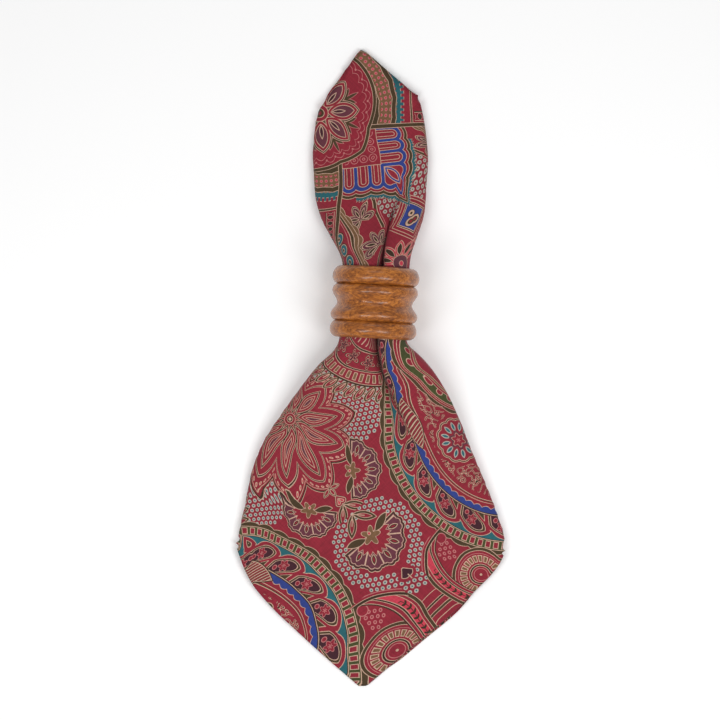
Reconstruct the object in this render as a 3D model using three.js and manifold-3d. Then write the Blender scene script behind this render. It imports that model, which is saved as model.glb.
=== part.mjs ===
// A square cotton napkin, folded in quarters, laid as a diamond with both side corners tucked behind,
// and drawn through a turned wooden napkin ring. The set lies on its back.
// Millimetres, +Z up, +Y from the wide end to the narrow one, origin on the surface under the middle.
import * as THREE from "three";
import Module from "manifold-3d";
import { mergeVertices } from "three/addons/utils/BufferGeometryUtils.js";

const wasm = await Module();
wasm.setup();

// Driving dimensions
const napkinSide = 457.2; // an 18 inch dinner napkin
const quarterSide = napkinSide / 2;
const diamondLength = quarterSide * Math.SQRT2;
const ring = {
  beadRadius: 21.5,
  boreRadius: 17,
  length: 35.4,
  middleY: 32,
  facets: 40,
};
ring.axisHeight = ring.beadRadius * Math.cos(Math.PI / ring.facets); // a facet of each bead lies flat
// The cloth inside the bore is a round bundle.
const bundleRadius = 16.5;
const bundle = { crest: ring.axisHeight + bundleRadius, floor: ring.axisHeight - bundleRadius };
const mouths = { lower: ring.middleY - ring.length / 2, upper: ring.middleY + ring.length / 2 };
const tips = { bottom: -159.5, top: 159.5 };

// The outline: how far the cloth reaches to each side of its own centre line.
const outline = [
  { y: tips.bottom, left: 1.7, right: 1.6 },
  { y: -147.5, left: 15.9, right: 15.2 },
  { y: -135.5, left: 29.5, right: 29.0 },
  { y: -119.5, left: 46.9, right: 47.2 },
  { y: -107.5, left: 57.2, right: 57.4 },
  { y: -99.5, left: 61.6, right: 63.5 },
  { y: -91.5, left: 64.3, right: 67.9 },
  { y: -83.5, left: 63.4, right: 69.7 },
  { y: -71.5, left: 61.5, right: 65.5 },
  { y: -55.5, left: 59.0, right: 58.5 },
  { y: -39.5, left: 53.6, right: 51.0 },
  { y: -23.5, left: 44.0, right: 44.0 },
  { y: -11.5, left: 35.8, right: 37.7 },
  { y: 0.5, left: 26.7, right: 29.4 },
  { y: 7.5, left: 19.4, right: 22.6 },
  { y: mouths.lower - 2.3, left: 16.9, right: 17.3 },
  { y: mouths.lower, left: bundleRadius, right: bundleRadius },
  { y: mouths.upper, left: bundleRadius, right: bundleRadius },
  { y: 54.5, left: 17.6, right: 16.9 },
  { y: 64.5, left: 22.5, right: 20.0 },
  { y: 76.5, left: 27.8, right: 24.3 },
  { y: 88.5, left: 30.1, right: 25.8 },
  { y: 104.5, left: 30.0, right: 28.0 },
  { y: 120.5, left: 27.8, right: 27.6 },
  { y: 129.5, left: 25.7, right: 27.0 },
  { y: 137.5, left: 20.6, right: 21.5 },
  { y: 147.5, left: 11.3, right: 12.2 },
  { y: tips.top, left: 1.3, right: 1.3 },
];

// The centre line bends a little: through the ring it leans right, and at the narrow end left.
const centreLine = [
  { y: tips.bottom, x: -4.5 },
  { y: -111.5, x: -3.8 },
  { y: -71.5, x: -1.8 },
  { y: -23.5, x: -0.2 },
  { y: mouths.lower, x: 0.85 },
  { y: mouths.upper, x: 2.5 },
  { y: 64.5, x: 2.75 },
  { y: 83.5, x: 2.25 },
  { y: 108.5, x: 0.4 },
  { y: 133.5, x: -2.05 },
  { y: tips.top, x: -4.6 },
];

// Height of the front's outer face and of the lowest face, and how thick the four plies are together.
const loft = [
  { y: tips.bottom, crest: 3.0, floor: 0, plies: 3.0 },
  { y: -135, crest: 3.7, floor: 0, plies: 2.9 },
  { y: -111, crest: 5.0, floor: 0, plies: 2.7 },
  { y: -91, crest: 6.6, floor: 0, plies: 2.5 },
  { y: -71, crest: 8.4, floor: 0, plies: 2.3 },
  { y: -55, crest: 10.4, floor: 0, plies: 2.1 },
  { y: -40, crest: 13.0, floor: 0, plies: 2.0 },
  { y: -23, crest: 17.5, floor: 0, plies: 1.8 },
  { y: -7, crest: 24.0, floor: 0.3, plies: 1.6 },
  { y: 5, crest: 30.5, floor: 1.9, plies: 1.5 },
  { y: mouths.lower, crest: bundle.crest, floor: bundle.floor, plies: 1.4 },
  { y: mouths.upper, crest: bundle.crest, floor: bundle.floor, plies: 1.4 },
  { y: 57, crest: 32.0, floor: 2.4, plies: 1.5 },
  { y: 66, crest: 25.0, floor: 0.7, plies: 1.6 },
  { y: 76.5, crest: 18.5, floor: 0, plies: 1.8 },
  { y: 88.5, crest: 13.0, floor: 0, plies: 2.0 },
  { y: 104.5, crest: 9.2, floor: 0, plies: 2.3 },
  { y: 120.5, crest: 7.0, floor: 0, plies: 2.6 },
  { y: 137.5, crest: 4.8, floor: 0, plies: 2.9 },
  { y: tips.top, crest: 3.0, floor: 0, plies: 3.0 },
];

// Across the cloth: full is 1 for a round section and 0 for a flat one with tight rolls at its sides,
// level is the share of each side where the lowest face lies dead flat, and dome is the fall of the
// front towards the sides.
const sectionForm = [
  { y: tips.bottom, full: 0, level: 0.6, dome: 0 },
  { y: -100, full: 0, level: 0.6, dome: 0.12 },
  { y: -75, full: 0.02, level: 0.6, dome: 0.2 },
  { y: -50, full: 0.08, level: 0.6, dome: 0.24 },
  { y: -20, full: 0.45, level: 0.4, dome: 0.12 },
  { y: 0, full: 0.85, level: 0.1, dome: 0.04 },
  { y: mouths.lower, full: 1, level: 0, dome: 0 },
  { y: mouths.upper, full: 1, level: 0, dome: 0 },
  { y: 66, full: 0.7, level: 0.2, dome: 0.05 },
  { y: 88, full: 0.2, level: 0.5, dome: 0.15 },
  { y: 110, full: 0.02, level: 0.6, dome: 0.12 },
  { y: tips.top, full: 0, level: 0.6, dome: 0 },
];

// The deep fold of the front on each side of the ring: a long slope on its left, a steep wall on its right.
const deepFold = [
  { y: -62, at: 31, depth: 0, slope: 9, wall: 3.4 },
  { y: -44, at: 28, depth: 1.2, slope: 9, wall: 3.4 },
  { y: -30, at: 23.5, depth: 3.0, slope: 9, wall: 3.2 },
  { y: -15, at: 15.5, depth: 5.5, slope: 8.5, wall: 3 },
  { y: 0, at: 8, depth: 9, slope: 8, wall: 2.6 },
  { y: mouths.lower, at: 3.5, depth: 12.5, slope: 8, wall: 2.4 },
  { y: mouths.upper, at: 4.5, depth: 12.5, slope: 6.5, wall: 2.2 },
  { y: 58, at: 5.6, depth: 10.5, slope: 6, wall: 2.2 },
  { y: 66, at: 7.2, depth: 8, slope: 6, wall: 2.2 },
  { y: 76, at: 9.8, depth: 4.6, slope: 6, wall: 2.4 },
  { y: 88, at: 13.5, depth: 1.6, slope: 6, wall: 2.6 },
  { y: 100, at: 17, depth: 0, slope: 6, wall: 2.6 },
];

// A soft crease that runs from the left of the ring's wide mouth into the deep fold.
const softCrease = [
  { y: -30, at: 14, depth: 0, slope: 6, wall: 5 },
  { y: -16, at: 9.5, depth: 1.3, slope: 6, wall: 5 },
  { y: -4, at: 0.5, depth: 2.0, slope: 5, wall: 5 },
  { y: mouths.lower, at: -11, depth: 1.6, slope: 3.5, wall: 3.5 },
  { y: mouths.upper, at: -11, depth: 0.8, slope: 3.5, wall: 3.5 },
  { y: 66, at: -12, depth: 0, slope: 5, wall: 4 },
];

// Behind the front both side corners are tucked in. Near the ring their cloth is gathered up and down,
// as a share of the height inside. raise is how high the left corner lies over the right one.
const pleatsPerCorner = 5;
const gather = [
  { y: -55, pleat: 0.0, raise: 0.0 },
  { y: -47, pleat: 0.0, raise: 0.35 },
  { y: -36, pleat: 0.14, raise: 0.46 },
  { y: -20, pleat: 0.27, raise: 0.5 },
  { y: 0, pleat: 0.34, raise: 0.5 },
  { y: mouths.lower, pleat: 0.34, raise: 0.5 },
  { y: mouths.upper, pleat: 0.26, raise: 0.5 },
  { y: 66, pleat: 0.22, raise: 0.5 },
  { y: 80, pleat: 0.08, raise: 0.46 },
  { y: 88, pleat: 0.0, raise: 0.42 },
  { y: 98, pleat: 0.0, raise: 0.3 },
  { y: 106, pleat: 0.0, raise: 0.0 },
];

// Where the cross sections stand, closer together near the ring.
const sectionPlaces = [
  tips.bottom, -154, -147.5, -138, -128, -119.5, -111, -104, -98, -91.5, -84, -76, -66, -55.5, -47,
  -39.5, -31, -23.5, -16, -9, -2, 4.5, 10, mouths.lower, 26, 38, mouths.upper, 54, 59, 65, 71, 77, 84,
  91, 98, 104.5, 112, 120.5, 126, 130.5, 135, 141, 147.5, 154, tips.top,
];

// A smooth curve through one column of a table: it never swings past its points.
function along(table, column) {
  const at = table.map((row) => row.y);
  const value = table.map((row) => row[column]);
  const rise = at.slice(1).map((y, i) => (value[i + 1] - value[i]) / (y - at[i]));
  const tangent = value.map((_, i) => {
    if (i === 0 || i === value.length - 1) return rise[Math.min(i, rise.length - 1)];
    const [before, after] = [rise[i - 1], rise[i]];
    return before * after <= 0 ? 0 : (2 * before * after) / (before + after);
  });
  return (y) => {
    const place = THREE.MathUtils.clamp(y, at[0], at[at.length - 1]);
    const i = Math.min(at.findLastIndex((start) => start <= place), rise.length - 1);
    const step = at[i + 1] - at[i];
    const t = (place - at[i]) / step;
    return (
      value[i] * (1 + 2 * t) * (1 - t) ** 2 +
      tangent[i] * step * t * (1 - t) ** 2 +
      value[i + 1] * t * t * (3 - 2 * t) +
      tangent[i + 1] * step * t * t * (t - 1)
    );
  };
}

const curves = {
  left: along(outline, "left"),
  right: along(outline, "right"),
  centre: along(centreLine, "x"),
  crest: along(loft, "crest"),
  floor: along(loft, "floor"),
  plies: along(loft, "plies"),
  full: along(sectionForm, "full"),
  level: along(sectionForm, "level"),
  dome: along(sectionForm, "dome"),
  pleat: along(gather, "pleat"),
  raise: along(gather, "raise"),
};

const creases = [deepFold, softCrease].map((table) => ({
  at: along(table, "at"),
  depth: along(table, "depth"),
  slope: along(table, "slope"),
  wall: along(table, "wall"),
}));

// Lean of the centre line, by a difference over a short step.
function leanAt(y) {
  const step = 2;
  return Math.atan((curves.centre(y + step) - curves.centre(y - step)) / (2 * step));
}

// How much cloth there is on each side of the centre line, from the distance along the diamond.
const slack = diamondLength / (tips.top - tips.bottom); // the cloth climbs over the ring's height
function clothHalfWidth(y) {
  return Math.min(y - tips.bottom, tips.top - y) * slack + curves.left(tips.top);
}

// The envelope of one cross section: its sides, the cloth tucked behind each of them, and the heights
// of its front and of its lowest face.
const shortestTuck = 5; // with less cloth than this to spare, the side just lies flat
const tightSide = 1.03; // cloth in the side's roll, as a share of the half width
const lidWidening = 1.4; // cloth under a crease bends less sharply: at least this many depths on each side
const rollWidths = { least: 0.05, most: 0.22 }; // shares of the half width
const tightestRoll = 0.01;
function envelopeAt(y) {
  const plies = curves.plies(y);
  const half = { left: curves.left(y), right: curves.right(y) };
  const tuckedOn = (side) => {
    const length = clothHalfWidth(y) - half[side] * tightSide;
    return length < shortestTuck ? 0 : length;
  };
  const tucked = { left: tuckedOn("left"), right: tuckedOn("right") };
  for (const side of ["left", "right"]) {
    if (tucked[side]) half[side] -= plies / 2; // the roll's outer ply
  }
  const crest = curves.crest(y) - plies / 2;
  const base = curves.floor(y) + plies / 2;
  const [full, level, dome] = [curves.full(y), curves.level(y), curves.dome(y)];
  const sideTop = crest - dome * (crest - base);
  const middle = (sideTop + base) / 2;
  const flatHalf = (sideTop - base) / 2;
  const folds = creases.map((crease) => ({
    at: crease.at(y),
    depth: crease.depth(y),
    slope: crease.slope(y),
    wall: crease.wall(y),
  }));
  const roll = {
    left: flatHalf + full * (half.left - flatHalf),
    right: flatHalf + full * (half.right - flatHalf),
  };
  const rollWidth = {
    left: THREE.MathUtils.clamp(roll.left, rollWidths.least * half.left, rollWidths.most * half.left),
    right: THREE.MathUtils.clamp(roll.right, rollWidths.least * half.right, rollWidths.most * half.right),
  };
  // From 0 where the side's roll begins to 1 at the very side; flat cloth has no roll.
  const turn = (x) => {
    const side = x < 0 ? "left" : "right";
    if (!tucked[side]) return 0;
    return THREE.MathUtils.clamp(1 - (half[side] - Math.abs(x)) / Math.max(roll[side], tightestRoll), 0, 1);
  };
  const dip = (x, widening) =>
    Math.max(
      ...folds.map(({ at, depth, slope, wall }) => {
        const reach = (x - at) / Math.max(x < at ? slope : wall, widening * depth);
        return Math.abs(reach) < 1 ? depth * Math.cos((reach * Math.PI) / 2) ** 2 : 0;
      }),
    );
  const smooth = (x) => {
    const share = Math.abs(x) / (x < 0 ? half.left : half.right);
    const top = crest - (crest - sideTop) * share * share;
    return middle + (top - middle) * Math.sqrt(1 - turn(x) ** 2);
  };
  const front = (x) => smooth(x) - dip(x, 0);
  const lid = (x) => smooth(x) - dip(x, lidWidening); // over the cloth gathered under the front
  const lowest = (x) => {
    const share = Math.abs(x) / (x < 0 ? half.left : half.right);
    const beyondLevel = Math.max(0, (share - level) / (1 - level));
    const side = Math.max(turn(x), full * beyondLevel);
    return middle - (middle - base) * Math.sqrt(1 - Math.min(side, 1) ** 2);
  };
  return { plies, half, tucked, rollWidth, deep: folds[0], front, lowest, lid };
}

// Spaced numbers from a to b, with both ends; power above 1 crowds them towards a.
function spread(a, b, steps, power = 1) {
  return Array.from({ length: steps + 1 }, (_, i) => a + (b - a) * (i / steps) ** power);
}

// How far in from the side the points of its roll lie.
const rollTurns = [0.33, 0.66, 1]; // shares of a quarter turn
const rollPlaces = (width) => rollTurns.map((turn) => width * (1 - Math.cos((turn * Math.PI) / 2)));

// Points of the front from its left side to its right one, with the deep fold's own points always in it.
const sideSteps = { left: 7, right: 4 };
const foldShares = [-1, -0.6, -0.25, 0, 0.5, 1]; // of its slope on the left and of its wall on the right
const foldLimits = { left: 0.5, right: 0.76 }; // shares of the half width that its points stay within
const leastSpacing = 0.02; // between its points, as a share of the half width
const crowding = 1.2; // points of the left part lie closer together towards the side
function frontPoints(e) {
  const foldPlaces = foldShares.map((s) => e.deep.at + s * (s < 0 ? e.deep.slope : e.deep.wall));
  const inner = { left: -foldLimits.left * e.half.left, right: foldLimits.right * e.half.right };
  const places = foldPlaces.map((x) => THREE.MathUtils.clamp(x, inner.left, inner.right));
  const middlePart = places.map((x, i) => x + (i - places.length / 2) * leastSpacing * e.half.right);
  const leftRoll = [0, ...rollPlaces(e.rollWidth.left)].map((inset) => inset - e.half.left);
  const rightRoll = [0, ...rollPlaces(e.rollWidth.right)].map((inset) => e.half.right - inset).reverse();
  const leftPart = spread(leftRoll.pop(), middlePart[0], sideSteps.left, crowding).slice(0, -1);
  const rightPart = spread(middlePart.pop(), rightRoll.shift(), sideSteps.right);
  const xs = [...leftRoll, ...leftPart, ...middlePart, ...rightPart, ...rightRoll];
  return xs.map((x, i) => ({ x, z: e.front(x), t: -1 + (2 * i) / (xs.length - 1) }));
}

// Points of one tucked corner, from the section's side inwards: the roll, then flat or pleated cloth.
const rollPart = 0.2; // of the corner's way in, for matching points between sections
const cornersReach = { left: 0.74, right: 0.66 }; // past the middle, as a share of the other half width
const widestRoll = 0.7; // share of the corner's whole way in
const flatSteps = 4;
const stepsPerPleat = 4; // two steps up, two steps down
const flattestPleat = 0.02;
function cornerPoints(y, e, side) {
  const out = side === "left" ? -1 : 1;
  const own = e.half[side];
  const other = e.half[side === "left" ? "right" : "left"];
  if (!e.tucked[side]) return [];
  const farthest = own + cornersReach[side] * other;
  const reach = Math.min(e.tucked[side], farthest);
  const raise = side === "left" ? curves.raise(y) : 0;
  const pleat = curves.pleat(y);
  const roll = Math.min(e.rollWidth[side], widestRoll * reach);
  const heightAt = (x, share) => e.lowest(x) + share * (e.lid(x) - e.lowest(x));
  const points = rollPlaces(roll).map((inset, i) => {
    const x = out * (own - inset);
    const turned = rollTurns[i];
    return { x, z: heightAt(x, raise * turned * turned), t: out * (1 + turned * rollPart) };
  });
  const pleated = pleat > flattestPleat;
  const steps = pleated ? stepsPerPleat * pleatsPerCorner : flatSteps;
  for (let i = 1; i <= steps; i++) {
    const up = pleated && (i + 1) % stepsPerPleat >= stepsPerPleat / 2;
    const share = i / steps;
    const x = out * (own - roll - share * (reach - roll));
    const z = heightAt(x, raise + (up ? pleat : 0));
    points.push({ x, z, t: out * (1 + rollPart + share * (1 - rollPart)) });
  }
  return points;
}

// One cross section in space: each point of the cloth's middle, with its outer and inner face.
const sharpestMitre = 0.55; // a tighter bend keeps its thickness only along its two sides
function sectionAt(y) {
  const e = envelopeAt(y);
  const chain = [
    ...cornerPoints(y, e, "left").reverse(),
    ...frontPoints(e),
    ...cornerPoints(y, e, "right"),
  ];
  const lean = leanAt(y);
  const across = new THREE.Vector2(Math.cos(lean), -Math.sin(lean));
  const direction = (a, b) => new THREE.Vector2(b.x - a.x, b.z - a.z).normalize();
  return chain.map((point, i) => {
    const before = direction(chain[Math.max(i - 1, 0)], chain[Math.max(i, 1)]);
    const last = chain.length - 1;
    const after = direction(chain[Math.min(i, last - 1)], chain[Math.min(i + 1, last)]);
    const tangent = before.clone().add(after).normalize();
    const mitre = 1 / Math.max(tangent.dot(before), sharpestMitre);
    const face = (offset) => {
      const x = point.x - tangent.y * mitre * offset;
      const z = point.z + tangent.x * mitre * offset;
      return new THREE.Vector3(curves.centre(y) + across.x * x, y + across.y * x, z);
    };
    return { t: point.t, outer: face(e.plies / 2), inner: face(-e.plies / 2), face, plies: e.plies };
  });
}

// Triangles between two rows of points, matched by how far across the cloth they lie.
function zip(lower, upper, firstLower, firstUpper) {
  const triangles = [];
  let [i, j] = [0, 0];
  while (i < lower.length - 1 || j < upper.length - 1) {
    const lowerNext = i < lower.length - 1 ? lower[i + 1].t : Infinity;
    const upperNext = j < upper.length - 1 ? upper[j + 1].t : Infinity;
    if (lowerNext <= upperNext) {
      triangles.push([firstLower + i, firstLower + i + 1, firstUpper + j]);
      i += 1;
    } else {
      triangles.push([firstLower + i, firstUpper + j + 1, firstUpper + j]);
      j += 1;
    }
  }
  return triangles;
}

// A closed sheet from rows of points that each have an outer and an inner place.
function sheetBetween(rows) {
  const starts = rows.map((_, r) => rows.slice(0, r).reduce((sum, row) => sum + row.length, 0));
  const points = rows.flat();
  const faces = rows.slice(1).flatMap((row, r) => zip(rows[r], row, starts[r], starts[r + 1]));
  const inner = points.length;
  const edges = new Map();
  for (const [a, b, c] of faces) {
    for (const [from, to] of [[a, b], [b, c], [c, a]]) {
      if (!edges.delete(`${to} ${from}`)) edges.set(`${from} ${to}`, [from, to]);
    }
  }
  const rim = [...edges.values()].flatMap(([from, to]) => [
    [to, from, from + inner],
    [to, from + inner, to + inner],
  ]);
  const back = faces.map(([a, b, c]) => [a + inner, c + inner, b + inner]);
  const places = [...points.map((p) => p.outer), ...points.map((p) => p.inner)];
  const geometry = new THREE.BufferGeometry().setFromPoints(places);
  geometry.setIndex([...faces, ...back, ...rim].flat());
  return geometry;
}

const samePlace = 1e-4;
function solidOf(geometry) {
  const bare = geometry.clone();
  bare.deleteAttribute("normal");
  bare.deleteAttribute("uv");
  const merged = mergeVertices(bare, samePlace);
  return new wasm.Manifold(
    new wasm.Mesh({
      numProp: 3,
      vertProperties: merged.attributes.position.array,
      triVerts: new Uint32Array(merged.index.array),
    }),
  );
}

function geometryOf(solid) {
  const mesh = solid.getMesh();
  const geometry = new THREE.BufferGeometry();
  geometry.setAttribute("position", new THREE.BufferAttribute(new Float32Array(mesh.vertProperties), 3));
  geometry.setIndex(new THREE.BufferAttribute(new Uint32Array(mesh.triVerts), 1));
  geometry.computeVertexNormals();
  return geometry;
}

// A thin gap between two plies, cut in from the cloth's edge on one side of a stretch of the outline.
const gapHeight = 0.34;
const gapDepth = { most: 16, share: 0.7 }; // share of the half width
const beyondEdge = 3; // the cut starts outside the cloth
const gapColumns = 3;
const gapRowSpacing = 7.3; // unlike the spacing of the sections, so that no edges coincide
function plyGap({ from, to, side, offset }) {
  const out = side === "left" ? -1 : 1;
  const places = spread(from, to, Math.round((to - from) / gapRowSpacing));
  const rows = places.map((y) => {
    const e = envelopeAt(y);
    const lean = leanAt(y);
    const edge = e.half[side] + beyondEdge;
    const depth = Math.min(gapDepth.most, gapDepth.share * e.half[side]);
    const xs = spread(edge, e.half[side] - depth, gapColumns).map((x) => out * x);
    const ordered = out < 0 ? xs : xs.reverse();
    return ordered.map((x, i) => {
      const inside = THREE.MathUtils.clamp(x, -e.half.left, e.half.right);
      const place = (z) =>
        new THREE.Vector3(
          curves.centre(y) + Math.cos(lean) * x,
          y - Math.sin(lean) * x,
          e.front(inside) + z,
        );
      const middle = offset * e.plies;
      return { t: i, outer: place(middle + gapHeight / 2), inner: place(middle - gapHeight / 2) };
    });
  });
  return solidOf(sheetBetween(rows));
}

// Four hemmed edges lie on each other at the narrow end; at the wide end, two folds on the right.
const plyGaps = [
  ...["left", "right"].flatMap((side) =>
    [-0.25, 0, 0.25].map((offset) => ({ from: 131.3, to: 152.9, side, offset })), // shares of the stack
  ),
  { from: -152.9, to: -104.6, side: "right", offset: 0 },
];

const finestDetail = 0.02; // shorter edges left by the cuts are merged away
const crimsonCotton = 0x8e2434;
function makeNapkin() {
  let cloth = solidOf(sheetBetween(sectionPlaces.map(sectionAt)));
  for (const gap of plyGaps) {
    cloth = cloth.subtract(plyGap(gap));
  }
  const pieces = cloth.decompose().sort((a, b) => b.volume() - a.volume());
  const mesh = new THREE.Mesh(
    geometryOf(pieces[0].asOriginal().simplify(finestDetail)),
    new THREE.MeshStandardMaterial({ color: crimsonCotton, roughness: 0.9, metalness: 0 }),
  );
  mesh.name = "napkin";
  return mesh;
}

// The ring's turned outside, from its upper end down: places along the axis and radii.
const turning = {
  endRadius: 17.5,
  topBead: { middle: 5.2, radius: ring.beadRadius },
  topGroove: { place: 8.9, radius: 18.5 },
  upperBead: { middle: 12.2, radius: 21.2 },
  cove: { place: 18.2, radius: 18.6 },
  lowerBead: { middle: 24.0, radius: ring.beadRadius },
  bottomGroove: { place: 27.1, radius: 18.8 },
  bottomBead: { middle: 31.6, radius: ring.beadRadius },
};
const boreEase = 0.3; // the ends of the bore are eased
const quarterSteps = 4;
const waveSteps = 5;

// A quarter of an ellipse between a crest and a groove or end; it leaves the crest along the axis.
function roundOver(crest, foot, steps) {
  return spread(0, Math.PI / 2, steps).map((angle) => ({
    place: crest.place + (foot.place - crest.place) * Math.sin(angle),
    radius: foot.radius + (crest.radius - foot.radius) * Math.cos(angle),
  }));
}

// Half a cosine wave between two turning points.
function wave(from, to, steps) {
  return spread(0, Math.PI, steps).map((angle) => {
    const share = (1 - Math.cos(angle)) / 2;
    return {
      place: from.place + ((to.place - from.place) * angle) / Math.PI,
      radius: from.radius + (to.radius - from.radius) * share,
    };
  });
}

const honeyWood = 0xa5682f;
function makeRing() {
  const t = turning;
  const crest = (bead) => ({ place: bead.middle, radius: bead.radius });
  const upperEnd = { place: 0, radius: t.endRadius };
  const lowerEnd = { place: ring.length, radius: t.endRadius };
  const outside = [
    ...roundOver(crest(t.topBead), upperEnd, quarterSteps).reverse(),
    ...roundOver(crest(t.topBead), t.topGroove, quarterSteps).slice(1),
    ...roundOver(crest(t.upperBead), t.topGroove, quarterSteps).reverse().slice(1),
    ...wave(crest(t.upperBead), t.cove, waveSteps).slice(1),
    ...wave(t.cove, crest(t.lowerBead), waveSteps).slice(1),
    ...roundOver(crest(t.lowerBead), t.bottomGroove, quarterSteps).slice(1),
    ...roundOver(crest(t.bottomBead), t.bottomGroove, quarterSteps).reverse().slice(1),
    ...roundOver(crest(t.bottomBead), lowerEnd, quarterSteps).slice(1),
  ];
  const bore = [
    { place: ring.length - boreEase, radius: ring.boreRadius },
    { place: boreEase, radius: ring.boreRadius },
  ];
  const profile = [...outside, ...bore, outside[0]].map(
    ({ place, radius }) => new THREE.Vector2(radius, ring.length / 2 - place),
  );
  const geometry = new THREE.LatheGeometry(profile.reverse(), ring.facets, Math.PI / ring.facets);
  const mesh = new THREE.Mesh(
    geometry,
    new THREE.MeshStandardMaterial({ color: honeyWood, roughness: 0.35, metalness: 0 }),
  );
  mesh.name = "napkin_ring";
  mesh.position.set(curves.centre(ring.middleY), ring.middleY, ring.axisHeight);
  mesh.rotation.z = -leanAt(ring.middleY);
  return mesh;
}

const napkinInRing = new THREE.Group();
napkinInRing.add(makeNapkin(), makeRing());

export default napkinInRing;
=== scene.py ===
# A paisley-printed cotton napkin drawn through a turned wooden ring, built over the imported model.
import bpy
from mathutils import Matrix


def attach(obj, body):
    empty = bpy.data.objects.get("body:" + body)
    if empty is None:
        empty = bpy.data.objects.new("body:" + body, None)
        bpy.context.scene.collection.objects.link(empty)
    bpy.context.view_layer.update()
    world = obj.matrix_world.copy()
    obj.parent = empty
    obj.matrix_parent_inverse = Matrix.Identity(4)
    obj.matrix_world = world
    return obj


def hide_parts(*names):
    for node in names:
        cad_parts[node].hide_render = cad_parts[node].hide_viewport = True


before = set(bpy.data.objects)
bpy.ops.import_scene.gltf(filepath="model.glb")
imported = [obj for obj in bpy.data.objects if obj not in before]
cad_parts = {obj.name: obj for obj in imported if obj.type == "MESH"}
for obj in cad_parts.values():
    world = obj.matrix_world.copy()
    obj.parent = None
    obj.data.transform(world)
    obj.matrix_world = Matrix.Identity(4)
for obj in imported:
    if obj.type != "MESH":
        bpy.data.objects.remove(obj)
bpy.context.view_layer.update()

import math
import bpy
import numpy as np

mm = 0.001
pi = math.pi
slant = 0.7071  # the cosine of 45 degrees


def columns(names, rows):
    values = np.array(rows, float)
    return {name: values[:, i] for i, name in enumerate(names.split())}


# A curve through one column: a cubic whose slope at each row is the harmonic mean of the slopes beside it.
def along(table, name, at):
    y, value = table["y"], table[name]
    rise = np.diff(value) / np.diff(y)
    before, after = rise[:-1], rise[1:]
    total = np.where(before + after == 0, 1, before + after)
    inner = np.where(before * after > 0, 2 * before * after / total, 0)
    slope = np.concatenate([rise[:1], inner, rise[-1:]])
    at = np.clip(at, y[0], y[-1])
    i = np.clip(np.searchsorted(y, at, side="right") - 1, 0, len(rise) - 1)
    step = y[i + 1] - y[i]
    t = (at - y[i]) / step
    return (value[i] * (1 + 2 * t) * (1 - t) ** 2 + slope[i] * step * t * (1 - t) ** 2
            + value[i + 1] * t * t * (3 - 2 * t) + slope[i + 1] * step * t * t * (t - 1))


def smooth(low, high, value):
    t = np.clip((value - low) / (high - low), 0, 1)
    return t * t * (3 - 2 * t)


# A grid of points (rows, columns, 3) in millimetres becomes a mesh; wrap joins the last column to the first one,
# and wrapRows the last row.
def gridMesh(name, points, wrap=False, wrapRows=False):
    rows, cols = points.shape[:2]
    index = np.arange(rows * cols).reshape(rows, cols)
    across = np.concatenate([index, index[:, :1]], axis=1) if wrap else index
    across = np.concatenate([across, across[:1]], axis=0) if wrapRows else across
    quads = np.stack([across[:-1, :-1], across[:-1, 1:], across[1:, 1:], across[1:, :-1]], axis=-1)
    mesh = bpy.data.meshes.new(name)
    mesh.vertices.add(rows * cols)
    mesh.vertices.foreach_set("co", (points.reshape(-1) * mm).astype(np.float32))
    quads = quads.reshape(-1, 4)
    mesh.loops.add(quads.size)
    mesh.loops.foreach_set("vertex_index", quads.reshape(-1).astype(np.int32))
    mesh.polygons.add(len(quads))
    mesh.polygons.foreach_set("loop_start", np.arange(0, quads.size, 4, dtype=np.int32))
    mesh.update(calc_edges=True)
    mesh.validate()
    mesh.polygons.foreach_set("use_smooth", np.ones(len(mesh.polygons), bool))
    piece = bpy.data.objects.new(name, mesh)
    bpy.context.scene.collection.objects.link(piece)
    return piece


ring = {
    "beadRadius": 21.5, "boreRadius": 17.0, "endRadius": 17.5, "length": 35.4,
    "middleY": 32.0, "cadFacets": 40, "stepsRound": 160, "stepsBead": 9,
    "mouthEdge": 0.15, "mouthDepth": 0.5, "mouthFlare": 0.12,
    "topBead": (5.2, 21.5), "topGroove": (8.9, 18.5), "upperBead": (12.2, 21.2), "cove": (18.2, 18.6),
    "lowerBead": (24.0, 21.5), "bottomGroove": (27.1, 18.8), "bottomBead": (31.6, 21.5),
}
ring["axisHeight"] = ring["beadRadius"] * math.cos(pi / ring["cadFacets"])
mouths = (ring["middleY"] - ring["length"] / 2, ring["middleY"] + ring["length"] / 2)
bundleRadius = 16.5


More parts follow.
